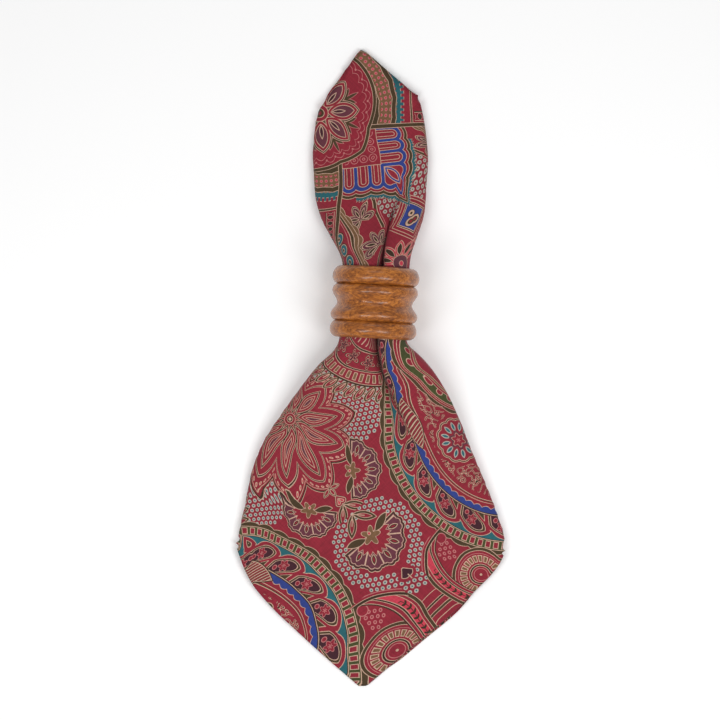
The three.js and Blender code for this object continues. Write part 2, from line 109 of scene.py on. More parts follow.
# The profile from the narrow end's mouth to the other and back through the bore: each bead is a quarter of an
# ellipse on either side of its crest, and the cove is two half cosine waves.
def turnedProfile(steps):
    quarterTurn = np.linspace(0, pi / 2, steps)
    halfTurn = np.linspace(0, pi, 2 * steps)

    def roundOver(crest, foot):
        return np.stack([crest[0] + (foot[0] - crest[0]) * np.sin(quarterTurn),
                         foot[1] + (crest[1] - foot[1]) * np.cos(quarterTurn)], axis=1)

    def wave(start, end):
        return np.stack([start[0] + (end[0] - start[0]) * halfTurn / pi,
                         start[1] + (end[1] - start[1]) * (1 - np.cos(halfTurn)) / 2], axis=1)

    length, radius = ring["length"], ring["boreRadius"]
    edge, depth, flared = ring["mouthEdge"], ring["mouthDepth"], radius + ring["mouthFlare"]
    upperEnd, lowerEnd = (0, ring["endRadius"]), (length, ring["endRadius"])
    bore = np.array([[length - edge, flared], [length - depth, radius], [length / 2, radius], [depth, radius],
                     [edge, flared]])
    parts = [roundOver(ring["topBead"], upperEnd)[::-1], roundOver(ring["topBead"], ring["topGroove"])[1:],
             roundOver(ring["upperBead"], ring["topGroove"])[::-1][1:], wave(ring["upperBead"], ring["cove"])[1:],
             wave(ring["cove"], ring["lowerBead"])[1:], roundOver(ring["lowerBead"], ring["bottomGroove"])[1:],
             roundOver(ring["bottomBead"], ring["bottomGroove"])[::-1][1:],
             roundOver(ring["bottomBead"], lowerEnd)[1:], bore]
    return np.concatenate(parts)


# The profile turned about the ring's axis: every point keeps its place along the axis and its radius.
def makeRing():
    profile = turnedProfile(ring["stepsBead"])
    angle = np.linspace(0, 2 * pi, ring["stepsRound"], endpoint=False) + pi / ring["stepsRound"]
    place = (ring["length"] / 2 - profile[:, 0])[:, None] + 0 * angle
    radius = profile[:, 1][:, None]
    lean = float(leanAt(np.array([ring["middleY"]]))[0])
    out = radius * np.sin(angle)
    points = np.stack([float(along(centreLine, "x", ring["middleY"])) + out * math.cos(lean) + place * math.sin(lean),
                       ring["middleY"] + place * math.cos(lean) - out * math.sin(lean),
                       ring["axisHeight"] + radius * np.cos(angle)], axis=-1)
    return gridMesh("turned_ring", points[::-1], wrap=True, wrapRows=True)


# The folded cloth, in millimetres. The shape is in the tables, from the wide tip to the narrow one: the outline's two
# half widths, the centre line, heights and thickness of the plies, how round and level the section is, the creases
# and the gathers.
napkin = {
    "side": 457.2, "thickness": 0.34, "lines": 216, "peek": 1.7, "wrinkle": 1.0,
    "pleatsPerCorner": 5, "pleatTurn": 1.7, "bottom": -159.5, "top": 159.5, "sections": 420,
    "tightSide": 1.03, "rollLeast": 0.05, "rollMost": 0.22, "lidWidening": 1.4, "tuckLeft": 0.74, "tuckRight": 0.66,
    "foldReach": 3.2, "frontSamples": 420, "rollSamples": 60, "tuckSamples": 900,
}
quarter = napkin["side"] / 2
diagonal = quarter * math.sqrt(2)

outline = columns("y left right", [
    (-159.5, 1.7, 1.6), (-147.5, 15.9, 15.2), (-135.5, 29.5, 29.0), (-119.5, 46.9, 47.2), (-107.5, 57.2, 57.4),
    (-99.5, 61.6, 63.5), (-91.5, 64.3, 67.9), (-83.5, 63.4, 69.7), (-71.5, 61.5, 65.5), (-55.5, 59.0, 58.5),
    (-39.5, 53.6, 51.0), (-23.5, 44.0, 44.0), (-11.5, 35.8, 37.7), (0.5, 26.7, 29.4), (7.5, 19.4, 22.6),
    (mouths[0] - 2.3, 16.9, 17.3), (mouths[0], bundleRadius, bundleRadius), (mouths[1], bundleRadius, bundleRadius),
    (54.5, 17.6, 16.9), (64.5, 22.5, 20.0), (76.5, 27.8, 24.3), (88.5, 30.1, 25.8), (104.5, 30.0, 28.0),
    (120.5, 27.8, 27.6), (129.5, 25.7, 27.0), (137.5, 20.6, 21.5), (147.5, 11.3, 12.2), (159.5, 1.3, 1.3)])
centreLine = columns("y x", [
    (-159.5, -4.5), (-111.5, -3.8), (-71.5, -1.8), (-23.5, -0.2), (mouths[0], 0.85), (mouths[1], 2.5),
    (64.5, 2.75), (83.5, 2.25), (108.5, 0.4), (133.5, -2.05), (159.5, -4.6)])
bundleTop, bundleBottom = ring["axisHeight"] + bundleRadius, ring["axisHeight"] - bundleRadius
loft = columns("y crest floor plies", [
    (-159.5, 2.6, 0, 2.6), (-135, 3.5, 0, 2.6), (-111, 5.0, 0, 2.5), (-91, 6.6, 0, 2.4), (-71, 8.4, 0, 2.3),
    (-55, 10.4, 0, 2.1), (-40, 13.0, 0, 2.0), (-23, 17.5, 0, 1.8), (-7, 24.0, 0.3, 1.6), (5, 30.5, 1.9, 1.5),
    (mouths[0], bundleTop, bundleBottom, 1.4), (mouths[1], bundleTop, bundleBottom, 1.4),
    (57, 32.0, 2.4, 1.5), (66, 25.0, 0.7, 1.6), (76.5, 18.5, 0, 1.8), (88.5, 13.0, 0, 2.0), (104.5, 9.2, 0, 2.3),
    (120.5, 7.0, 0, 2.4), (137.5, 4.6, 0, 2.5), (159.5, 2.6, 0, 2.6)])
sectionForm = columns("y full level dome", [
    (-159.5, 0, 0.6, 0), (-100, 0, 0.6, 0.12), (-75, 0.02, 0.6, 0.2), (-50, 0.08, 0.6, 0.24), (-20, 0.45, 0.4, 0.12),
    (0, 0.85, 0.1, 0.04), (mouths[0], 1, 0, 0), (mouths[1], 1, 0, 0), (66, 0.7, 0.2, 0.05), (88, 0.2, 0.5, 0.15),
    (110, 0.02, 0.6, 0.12), (159.5, 0, 0.6, 0)])
# The creases of the front: at is the place across, slope and wall the widths of their left and right sides,
# over how far the right bank leans over the valley.
deepFold = columns("y at depth slope wall over", [
    (-66, 30, 0, 10, 3.6, 0), (-44, 25, 0.8, 9, 3.4, 0.4), (-30, 19, 2.6, 9, 3.2, 1.2), (-15, 12, 5.5, 8.5, 3, 2.4),
    (0, 6.5, 9, 8, 2.6, 2.6), (mouths[0], 3.5, 12.5, 8, 2.4, 1.6), (mouths[1], 4.5, 12.5, 6.5, 2.2, 1.6),
    (58, 5.6, 10.5, 6, 2.2, 2.4), (66, 7.2, 8, 6, 2.2, 2.6), (76, 9.8, 4.6, 6, 2.4, 2.0),
    (88, 13.5, 1.6, 6, 2.6, 0.8), (102, 17, 0, 6, 2.6, 0)])
softCrease = columns("y at depth slope wall over", [
    (-30, 14, 0, 6, 5, 0), (-16, 9.5, 1.3, 6, 5, 0), (-4, 0.5, 2.0, 5, 5, 0), (mouths[0], -11, 1.6, 3.5, 3.5, 0),
    (mouths[1], -11, 0.8, 3.5, 3.5, 0), (66, -12, 0, 5, 4, 0)])
gather = columns("y pleat raised", [
    (-55, 0, 0), (-47, 0, 0.35), (-36, 0.14, 0.46), (-20, 0.27, 0.5), (0, 0.34, 0.5), (mouths[0], 0.34, 0.5),
    (mouths[1], 0.26, 0.5), (66, 0.22, 0.5), (80, 0.08, 0.46), (88, 0, 0.42), (98, 0, 0.3), (106, 0, 0)])
# Shallow folds and hollows of the front, each along a line between two places, with a rounded cross-section.
softFolds = columns("startX startY endX endY width height", [
    (-14, -2, -30, -42, 7, 0.9), (-9, -12, -12, -42, 5, -1.1), (14, 6, 36, -26, 6, 0.8), (22, -4, 48, -44, 7, -0.7),
    (-20, -52, -46, -86, 12, -0.7), (8, -60, 30, -100, 14, 0.8), (-6, -70, -14, -120, 12, -0.6),
    (-12, 62, -18, 92, 5, 0.9), (-4, 64, 0, 100, 5, -0.9), (16, 72, 22, 100, 4, 0.8), (-14, 100, -8, 126, 8, -0.6),
    (10, 108, 16, 132, 7, 0.5)])


def leanAt(y):
    return np.arctan((along(centreLine, "x", y + 2) - along(centreLine, "x", y - 2)) / 4)


# Half of the diamond's width at a distance along its diagonal.
def clothHalf(q):
    return np.minimum(q, diagonal - q)


# Each shallow fold is a bell across its line that fades beyond both ends.
def shallow(x, y):
    rise = 0
    for startX, startY, endX, endY, width, height in zip(*softFolds.values()):
        runX, runY = endX - startX, endY - startY
        length = math.hypot(runX, runY)
        t = ((x - startX) * runX + (y - startY) * runY) / length
        aside = ((x - startX) * runY - (y - startY) * runX) / length
        beyond = np.maximum(np.maximum(-t, t - length), 0)
        rise = rise + height * np.exp(-(aside / width) ** 2 - (beyond / (1.2 * width)) ** 2)
    return rise * napkin["wrinkle"]


# Cross-sections of the stack of plies, as whole arrays: a row for each y, columns from the middle of the front
# round the side and into the gathers. Returns tables of x, z and of the outward normal for both sides.
def sectionTables(y, frontSteps=150, cornerSteps=330):
    y = y[:, None]

    def value(table, name):
        return along(table, name, y)

    plies, crest = value(loft, "plies"), value(loft, "crest")
    crest, base = crest - plies / 2, value(loft, "floor") + plies / 2
    full, level, dome = (value(sectionForm, name) for name in ("full", "level", "dome"))
    sideTop = crest - dome * (crest - base)
    middle, flatHalf = (sideTop + base) / 2, (sideTop - base) / 2
    w = clothHalf((y - napkin["bottom"]) * diagonal / (napkin["top"] - napkin["bottom"]))
    pleat, raised = value(gather, "pleat"), value(gather, "raised")
    tables = {}
    for side, out in (("left", -1), ("right", 1)):
        edge = value(outline, side)
        spare = np.maximum(w - edge * napkin["tightSide"], 0)
        rollIn = smooth(0, 7, spare)
        own = edge - rollIn * plies / 2
        other = value(outline, "right" if out < 0 else "left") - plies / 2
        roll = flatHalf + full * (own - flatHalf)

        def turn(x):
            return np.clip(1 - (own - np.abs(x)) / np.maximum(roll, 0.3), 0, 1) * rollIn

        def dip(x, widening):
            deepest = 0
            for table in (deepFold, softCrease):
                at, depth = value(table, "at"), value(table, "depth")
                width = np.where(x < at, value(table, "slope"), value(table, "wall"))
                reach = np.clip((x - at) / np.maximum(width, widening * depth), -1, 1)
                deepest = np.maximum(deepest, depth * np.cos(reach * pi / 2) ** 2)
            return deepest

        def roundedTop(x):
            top = crest - (crest - sideTop) * (x / own) ** 2
            return middle + (top - middle) * np.sqrt(1 - turn(x) ** 2)

        def lowest(x):
            beyond = np.clip((np.abs(x) / own - level) / (1 - level), 0, 1)
            across = np.maximum(turn(x), full * beyond * rollIn)
            return middle - (middle - base) * np.sqrt(1 - np.minimum(across, 1) ** 2)

        x = out * own * np.sin(np.linspace(0, pi / 2, napkin["frontSamples"]))[None, :]
        away = 1 - smooth(0.8, 1.0, np.abs(x) / own)
        z = roundedTop(x) - dip(x, 0) + shallow(x, y + 0 * x) * away * smooth(4, 20, edge)
        lean = (x - value(deepFold, "at") - value(deepFold, "wall")) / napkin["foldReach"]
        front = np.stack([x - value(deepFold, "over") * np.exp(-lean ** 2), z])

        reach = np.minimum(spare, own + napkin["tuckLeft" if out < 0 else "tuckRight"] * other)
        rolled = np.minimum(np.clip(roll, napkin["rollLeast"] * own, napkin["rollMost"] * own), 0.7 * reach)
        turning = np.linspace(0, 1, napkin["rollSamples"])[None, :]
        inward = np.linspace(0, 1, napkin["tuckSamples"])[None, 1:]
        lift = raised if out < 0 else 0 * raised
        # Back and forth: a sine pushed towards its limits, so that the runs are straight and the turns narrow.
        swing = np.sin(2 * pi * napkin["pleatsPerCorner"] * inward - pi / 2)
        wave = np.tanh(napkin["pleatTurn"] * swing) / math.tanh(napkin["pleatTurn"]) / 2 + 0.5
        inset = np.concatenate([rolled * (1 - np.cos(turning * pi / 2)), rolled + inward * (reach - rolled)], axis=1)
        share = np.concatenate([lift * turning ** 2, lift + pleat * wave], axis=1)
        x = out * (own - inset)
        lid = roundedTop(x) - dip(x, napkin["lidWidening"])
        corner = np.stack([x, lowest(x) + share * (lid - lowest(x))])
        tables[side] = resample(front, frontSteps, corner, cornerSteps, out)
        tables[side]["frontLength"] = np.hypot(*np.diff(front, axis=2)).sum(axis=1)
    return tables


# Both parts of a section at even steps of their own length, and the normal: the tangent turned a quarter.
def resample(front, frontSteps, corner, cornerSteps, out):
    rows = []
    for part, steps in ((front, frontSteps), (corner, cornerSteps)):
        length = np.concatenate([np.zeros((part.shape[1], 1)),
                                 np.cumsum(np.hypot(*np.diff(part, axis=2)), axis=1)], axis=1)
        even = np.linspace(0, 1, steps)
        rows.append(np.stack([[np.interp(even * distance[-1], distance, line)
                               for distance, line in zip(length, axis)] for axis in part]))
    whole = np.concatenate([rows[0], rows[1][:, :, 1:]], axis=2)
    tangent = np.gradient(whole, axis=2) * out
    size = np.maximum(np.hypot(*tangent), 1e-9)
    return {"x": whole[0], "z": whole[1], "normalX": -tangent[1] / size, "normalZ": tangent[0] / size,
            "frontSteps": frontSteps, "cornerSteps": cornerSteps}


# Between four neighbours of a table, by its row and column as fractions.
def sample(table, row, col):
    r = np.clip(row.astype(int), 0, table.shape[0] - 2)
    c = np.clip(col.astype(int), 0, table.shape[1] - 2)
    fr, fc = row - r, col - c
    return ((table[r, c] * (1 - fc) + table[r, c + 1] * fc) * (1 - fr)
            + (table[r + 1, c] * (1 - fc) + table[r + 1, c + 1] * fc) * fr)


# The square folded twice. Each fold is a half circle: the first one's radius is half the plies' spacing, and
# the second one carries the pair round a radius of one spacing, the outer ply on the outside.
def foldTwice(u, v, spacing):
    radius = spacing / 2
    turnU = np.clip(u / radius, -pi / 2, pi / 2)
    a = radius * (1 - np.cos(turnU)) + np.maximum(np.abs(u) - radius * pi / 2, 0)
    fromPair = radius * np.sin(turnU)
    turnV = np.clip(v / spacing, -pi / 2, pi / 2)
    b = spacing - (spacing + fromPair) * np.cos(turnV) + np.maximum(np.abs(v) - spacing * pi / 2, 0)
    return a, b, (spacing + fromPair) * np.sin(turnV)


# A place on the cloth to a place in space: folded twice, then bent to the cross-section at its distance along
# the diamond's diagonal, and set off along the section's normal by its ply.
def placeCloth(u, v):
    yLine = np.linspace(napkin["bottom"], napkin["top"], napkin["sections"])
    tables = sectionTables(yLine)
    height = tables["right"]["z"][:, 0]
    qLine = np.concatenate([[0], np.cumsum(np.hypot(np.diff(yLine), np.diff(height)))])
    qLine *= diagonal / qLine[-1]
    print(f"cloth tables: {len(yLine)} sections, climb {qLine[-1]:.0f} mm")
    roughQ = (np.abs(u) + np.abs(v)) / math.sqrt(2)
    spacing = (along(loft, "plies", np.interp(roughQ, qLine, yLine)) - napkin["thickness"]) / 3
    a, b, level = foldTwice(u, v, spacing)
    q = (a + b) / math.sqrt(2)
    p = (b - a) / math.sqrt(2)
    y = np.interp(q, qLine, yLine)
    row = (y - yLine[0]) / (yLine[1] - yLine[0])
    w = np.maximum(clothHalf(q), 0.05)
    points = 0
    for side, chosen in (("left", p < 0), ("right", p >= 0)):
        table = tables[side]
        steps = table["frontSteps"] - 1
        front = np.minimum(w, np.interp(y, yLine, table["frontLength"]))
        beyond = np.clip((np.abs(p) - front) / np.maximum(w - front, 0.05), 0, 1)
        col = np.minimum(np.abs(p) / front, 1) * steps + beyond * (table["cornerSteps"] - 1)
        x, z, nx, nz = (sample(table[name], row, col) for name in ("x", "z", "normalX", "normalZ"))
        size = np.maximum(np.hypot(nx, nz), 1e-6)
        x, z = x + nx / size * level, z + nz / size * level
        points = np.where(chosen[None], np.stack([x, z]), points)
    x, z = points
    lean = leanAt(y)
    # The hind pair of plies shows a little past the front one along the lower right edge.
    hind = smooth(0, 0.6, -level) * np.exp(-a / 24) * smooth(4, 22, b) * (1 - smooth(50, 92, b)) * napkin["peek"]
    return np.stack([along(centreLine, "x", y) + np.cos(lean) * x + 0.7 * hind,
                     y - np.sin(lean) * x - 0.7 * hind, z], axis=-1)


# Lines of the cloth at even steps, closer together at the fold in the middle.
def clothLines(count):
    near = np.array([0, 0.35, 0.75, 1.3, 2.2])
    even = np.linspace(near[-1], quarter, count // 2 - len(near) + 1)[1:]
    half = np.concatenate([near, even])
    return np.concatenate([-half[:0:-1], half])


# Where the hand-laid print lies askew: a place on the cloth, and how far off the print's own place is; then the
# places where it lies true.
askew = columns("u v moveX moveY", [
    (10, 10, 0, 8.8), (20, 20, 0, 4.8), (30, 27.5, 0, 1.8), (70, 25.8, 0, -0.6), (80, 21.3, 0, -1.5),
    (90, 16.5, 0, -5.2), (97, 12.5, 0, -7.5), (0, 39.5, 0, 7.5), (10, 30, 0, 7), (20, 42, 0, 3), (121, 64, 0, -9.5),
    (104, 44, -6, -3), (92, 57, 1.5, -2.5), (99.5, 71.5, -1.5, -3.7), (108, 78.5, 0, -1), (115, 43, -7, -11),
    (90, 97.5, 0, -2), (88, 117, -5.4, 0), (98, 128, -9.6, 0), (108, 137, -17, 0), (95, 142, -9, 0),
    (80, 127, -1, 0), (201, 178, 0, .8), (193, 169, 0, 1.8), (185, 159, 0, 3.8), (178, 150, 0, 5.8),
    (174, 142, 0, 9.8), (160, 140, 0, 9), (150, 143, 0, 7), (160, 165, 0, 4), (170, 160, 0, 4), (201, 202, 0, 1.8),
    (193, 209, 0, 2.8), (186, 215, 0, 3.8), (180, 220, 0, 4.8), (178, 209, 0, -2.5), (163, 187.5, 0, 3.8),
    (148, 185, 0, 6.3), (135, 182, 0, 9)] + [(u, v, 0, 0) for u, v in [
    (45, 30.6), (10, 90), (0, 62), (20, 75), (27, 54.5), (45, 54.5), (60, 54.5), (75, 54.7), (85, 55.3), (80, 40),
    (80, 70), (80, 89), (100, 106.5), (46, 78), (120, 97), (130, 92), (112, 102), (54, 118), (70, 118), (65, 130),
    (100, 112), (110, 122), (120, 118), (184, 191.3), (180, 184), (180, 199), (226, 191), (215, 210), (215, 172),
    (205, 215), (205, 168)]])
askewReach = 9.0


# Each row of the table moves the print near it; between rows the moves are averaged by nearness.
def straighten(u, v):
    total, moveX, moveY = 1e-3, 0, 0
    for atU, atV, rowX, rowY in zip(*askew.values()):
        nearness = np.exp(-((u - atU) ** 2 + (v - atV) ** 2) / askewReach ** 2)
        total, moveX, moveY = total + nearness, moveX + nearness * rowX, moveY + nearness * rowY
    return u + moveX / total, v + moveY / total


# The cloth as one grid. Its layer "cloth" holds each point's place on the flat square, and "print" the place in the
# print that lies there.
def makeNapkin():
    line = clothLines(napkin["lines"])
    v, u = np.meshgrid(line, line, indexing="ij")
    piece = gridMesh("printed_napkin", placeCloth(u, v))
    corner = np.zeros(len(piece.data.loops), np.int32)
    piece.data.loops.foreach_get("vertex_index", corner)
    for name, (across, up) in (("cloth", (u, v)), ("print", straighten(u, v))):
        layer = piece.data.uv_layers.new(name=name)
        flat = np.stack([across.reshape(-1), up.reshape(-1)], axis=1) / napkin["side"] + 0.5
        layer.data.foreach_set("uv", flat[corner].reshape(-1).astype(np.float32))
    solid = piece.modifiers.new("clothThickness", "SOLIDIFY")
    solid.thickness = napkin["thickness"] * mm
    solid.offset = 0
    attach(piece, "root")
    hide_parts("napkin")
    return piece


def toLinear(hexColour):
    parts = [int(hexColour[i:i + 2], 16) / 255 for i in (1, 3, 5)]
    return [p / 12.92 if p <= 0.04045 else ((p + 0.055) / 1.055) ** 2.4 for p in parts] + [1.0]


# A node's output that takes part in plain arithmetic, so that the print's formulas can be written out; each sign
# adds its Math node.
class Output:
    def __init__(self, socket):
        self.socket = socket

    def __abs__(self):
        return node("ABSOLUTE", self)


for sign, operation in (("add", "ADD"), ("sub", "SUBTRACT"), ("mul", "MULTIPLY"), ("truediv", "DIVIDE")):
    setattr(Output, f"__{sign}__", lambda self, other, kind=operation: node(kind, self, other))
    setattr(Output, f"__r{sign}__", lambda self, other, kind=operation: node(kind, other, self))


# One node with its settings and links. A kind that is no shader node's name is an operation of the Math node;
# give is the number or name of the output that goes on.
def node(kind, *inputs, links=(), give=0, **settings):
    isNode = kind.startswith("ShaderNode")
    added = drawing["tree"].nodes.new(kind if isNode else "ShaderNodeMath")
    if not isNode:
        added.operation = kind
    for name, value in settings.items():
        setattr(added, name, value)
    for place, value in [*enumerate(inputs), *dict(links).items()]:
        if isinstance(value, Output):
            drawing["tree"].links.new(value.socket, added.inputs[place])
        else:
            added.inputs[place].default_value = value
    return Output(added.outputs[give])


drawing = {"tree": None}  # the material's nodes that are being written


# The place within a repeat, from minus half the pitch to plus half of it.
def wrapped(x, pitch):
    return node("WRAP", x, pitch / 2, -pitch / 2)


def far(x, y):
    return node("ShaderNodeVectorMath", node("ShaderNodeCombineXYZ", x, y), operation="LENGTH", give="Value")


# How far a place is from a centre, and its angle from the direction ahead.
def polar(ahead, aside):
    return far(aside, ahead), node("ARCTAN2", aside, ahead)


def below(distance):
    return node("LESS_THAN", distance, 0.0)


def choose(mask, one, other):
    return other + (one - other) * mask


def cloud(x, y, scale, detail=1.0):
    place = node("ShaderNodeCombineXYZ", x * scale, y * scale)
    return node("ShaderNodeTexNoise", noise_dimensions="2D", links={"Vector": place, "Scale": 1.0, "Detail": detail})


# The print is charted: every place, size and limit in its motifs is in millimetres of the flat cloth, x from
# the fold at the right and w from the axis of the design. The inks are as they look on the finished cloth.
inks = {
    "crimson": "#8A2030", "rose": "#C23A4C", "pink": "#B8706E", "cream": "#C4A08A", "dark": "#382818",
    "olive": "#463620", "green": "#414622", "teal": "#235E66", "blue": "#2B3C82", "plum": "#622F3B",
    "deepPlum": "#3E1A24", "taupe": "#75553A", "pale": "#ABA69C",
}


# Flat bands of ink along a distance, written as ink, limit, ink, limit and so on; a dash is no ink, so that the
# cloth shows.
def bands(under, distance, rows, where=None):
    names = rows.split()[0::2]
    limits = [float(limit) for limit in rows.split()[1::2]]
    low, high = min(limits) - 0.4, max(limits) + 0.4
    share = node("MULTIPLY_ADD", distance, 1 / (high - low), -low / (high - low))
    ramp = node("ShaderNodeValToRGB", share)
    stops = ramp.socket.node.color_ramp
    stops.interpolation = "CONSTANT"
    stops.elements.remove(stops.elements[1])
    for place, name in zip([low] + limits, names):
        at = (place - low) / (high - low)
        stop = stops.elements[0] if place == low else stops.elements.new(at)
        stop.position = at
        stop.color = toLinear(inks[name]) if name in inks else (0, 0, 0, 0)
    mask = Output(ramp.socket.node.outputs["Alpha"])
    if "-" not in names:
        mask = where
    elif where is not None:
        mask = mask * where
    if mask is None:
        return ramp
    return node("ShaderNodeMix", give=2, data_type="RGBA", links={0: mask, 6: under, 7: ramp})


# A leaf or petal between two points: the overlap of two circles, as a signed distance.
def leaf(forward, side, length, width):
    arc = (length * length + width * width) / (4 * width)
    return far(forward - length / 2, abs(side) + (arc - width / 2)) - arc


# A petal along the middle of its share of the turn, at a start from the centre.
def petal(reach, part, start, length, width):
    return leaf(reach * node("COSINE", part) - start, reach * node("SINE", part), length, width)


# The distance from the nearest dot's centre, and that centre: every other row is set half a pitch along.
def dotGrid(x, w, pitch=2.7, rowStep=2.35):
    row = node("ROUND", w / rowStep)
    dx = wrapped(x - pitch / 2 * wrapped(row, 2), pitch)
    cy = row * rowStep
    return far(dx, w - cy), x - dx, cy


# Rings of pale ink round a teal dot, in offset rows; a dot is there where its own centre lies in a field.
def dots(x, w):
    spot, cx, cy = dotGrid(x, w)
    aroundFlower = node("MAXIMUM", abs(far(cx - 46, cy) - 19.3) - 3.4, cx - 66)
    besideStar = node("MAXIMUM", 87.5 - cx, 15.5 - cy)
    atTip = node("MAXIMUM", abs(cx - 20) - 3.6, cy - 5.2)
    fields = node("MINIMUM", node("MINIMUM", aroundFlower, besideStar), atTip)
    yield spot, "teal 0.36 pale 0.92 -", below(fields)
    inHook = below(far(cx - 20, cy - 22.5) - 4.6)
    yield spot, "crimson 0.4 pink 0.85 -", inHook


# Half-open carnations: a fan of lobes, a toothed heart and a calyx; one on the axis, a pair beside it.
def carnations(x, w):
    pair = below(62 - x)
    size = 0.85 + 0.15 * pair
    ahead = choose(pair, (x - 80.9) * -0.62 + (w - 14.5) * 0.785, 50.8 - x) * size
    side = abs(choose(pair, (x - 80.9) * 0.785 + (w - 14.5) * 0.62, w)) * size
    reach, turn = polar(ahead, side)
    part = wrapped(turn, 0.62)
    frill = abs(node("SINE", part * 15)) * 0.55
    edge = node("MAXIMUM", reach - 14 - frill + part * part * 15, (turn - 1.62) * reach)
    near = below(x - 97)
    yield edge, "plum -0.75 cream -0.45 plum -0.1 dark 0.5 cream 0.78 -", near
    within = below(edge + 0.5)
    rib = (0.31 - abs(part)) * reach
    yield rib, "cream 0.28 -", within
    seed = leaf(reach - 7.9, part * reach, 4.4, 1.9)
    yield seed, "crimson -0.6 dark -0.2 cream 0.1 -", within
    teeth = reach - 6.6 - abs(wrapped(turn, 0.31)) * 13
    yield teeth, "crimson 0 cream 0.36 -", near * below(turn - 1.7)
    blade = leaf(side - 2.6, ahead + 0.30 * side - 0.5, 8.6, 3.3)
    yield blade, "olive -0.1 cream 0.22 -", near
    calyx = reach - 3.0 - 1.1 * node("COSINE", turn * 5)
    yield calyx, "taupe 0 cream 0.32 -", near
    yield far(ahead + 1.2, side), "rose 0.5 cream 0.8 -", near


# Two pairs of leaves along the axis, then a heart and a trefoil, and a dark heart at the other end.
def sprigs(x, w):
    big = below(x - 65.3)
    back = x - choose(big, 64.9, 71.7)
    forward, side = w * 0.68 - back * 0.73, back * 0.68 + w * 0.73
    inPairs = below(abs(x - 63.2) - 9)
    yield leaf(forward, side, 12.2, 4.5), "crimson -1.3 cream -1.05 olive -0.1 cream 0.2 -", inPairs
    midrib = node("MAXIMUM", abs(side), abs(forward - 3) - 3)
    yield midrib, "cream 0.22 -", inPairs
    lobe = far(node("MINIMUM", x - 73.6, 0), w - 1.1) - 1.9
    heart = node("MAXIMUM", lobe, (x - 77.6) * 0.6 + w * 0.8)
    yield heart, "rose -1.2 cream -0.9 crimson -0.2 cream 0.12 dark 0.35 -"
    reach, turn = polar(82.4 - x, w)
    blade = leaf(reach, wrapped(turn, 1.2) * reach, 5.2, 2.4)
    yield blade, "crimson -0.6 cream -0.3 olive 0.05 cream 0.3 -", below(turn - 1.7)
    spade = node("MAXIMUM", far(x - 27, w - 0.9) - 2.5, w * 0.75 + (x - 29.9) * 0.66)
    yield spade, "deepPlum -0.2 cream 0.15 crimson 1.6 -"
    yield far(node("MAXIMUM", abs(x - 24.4) - 1.2, 0), w), "cream 0.26 -"


# A daisy of long petals inside two borders of pointed arches with a row of beads between them.
def starFlower(x, w):
    reach, turn = polar(121 - x, w)
    part = wrapped(turn, pi / 6)
    share = abs(part) * (12 / pi)
    arch = share * (0.45 + 0.55 * share)
    outer = (reach - 40 + 9.0 * arch) * 0.7
    inner = (reach - 33.6 + 10.5 * arch) * 0.65
    yield outer, "crimson -1.3 cream -1.05 crimson -0.5 dark 0.1 cream 0.35 -"
    bead = far(wrapped(turn * 36, 2.2), (outer + inner - 0.2) * 0.7)
    yield bead, "rose 0.3 cream 0.66 -", below(outer + 1.4) * below(0.8 - inner)
    yield inner, "crimson -0.3 cream -0.05 dark 0.35 cream 0.6 -"
    yield petal(reach, part, 3, 27.5, 7.6), "crimson -0.85 cream -0.6 dark -0.1 cream 0.12 -"
    yield petal(reach, part, 7, 19, 3.9), "plum -1.3 cream -1.05 crimson -0.3 cream 0 -"
    yield reach, "crimson 3.4 -"
    yield reach, "cream 0.8 dark 1.4 cream 1.7 crimson 2.8 cream 3.1 -"


# A fringe of leaves and a ladder along an arc about a centre near the ring.
def ladderArc(x, w):
    reach, turn = polar(82.5 - w, x - 134)
    within = below(reach - 54)
    lean = wrapped(turn * 45 - (reach - 44) * 0.5, 4.9)
    blade = leaf(reach - 42.4, lean, 9.2, 4.4)
    yield blade, "crimson -1.15 cream -0.9 olive -0.25 cream 0.0 -", within
    vein = node("MAXIMUM", abs(lean), abs(reach - 45.6) - 1.6)
    yield vein, "cream 0.24 -"
    yield (reach, "crimson 25 cream 25.25 dark 26 cream 26.25 crimson 34.8 cream 35.05 dark 35.8 cream 36.05 "
                  "crimson 42 cream 42.25 dark 43.1 -")
    tab = node("MAXIMUM", abs(wrapped(turn * 39, 3.3)) - 0.6, abs(reach - 39.2) - 1.7)
    yield tab, "taupe 0 cream 0.36 -"
    around, spin = polar(reach - 30.4, wrapped(turn * 30, 9.5))
    bud = around - 1.3 * node("COSINE", 5 * spin)
    yield bud, "deepPlum 1.0 cream 1.3 crimson 2.4 cream 2.7 dark 3.2 -"
    spoke = abs(wrapped(turn * 22, 2.2))
    yield spoke, "cream 0.26 -", below(abs(reach - 20.5) - 3.2)


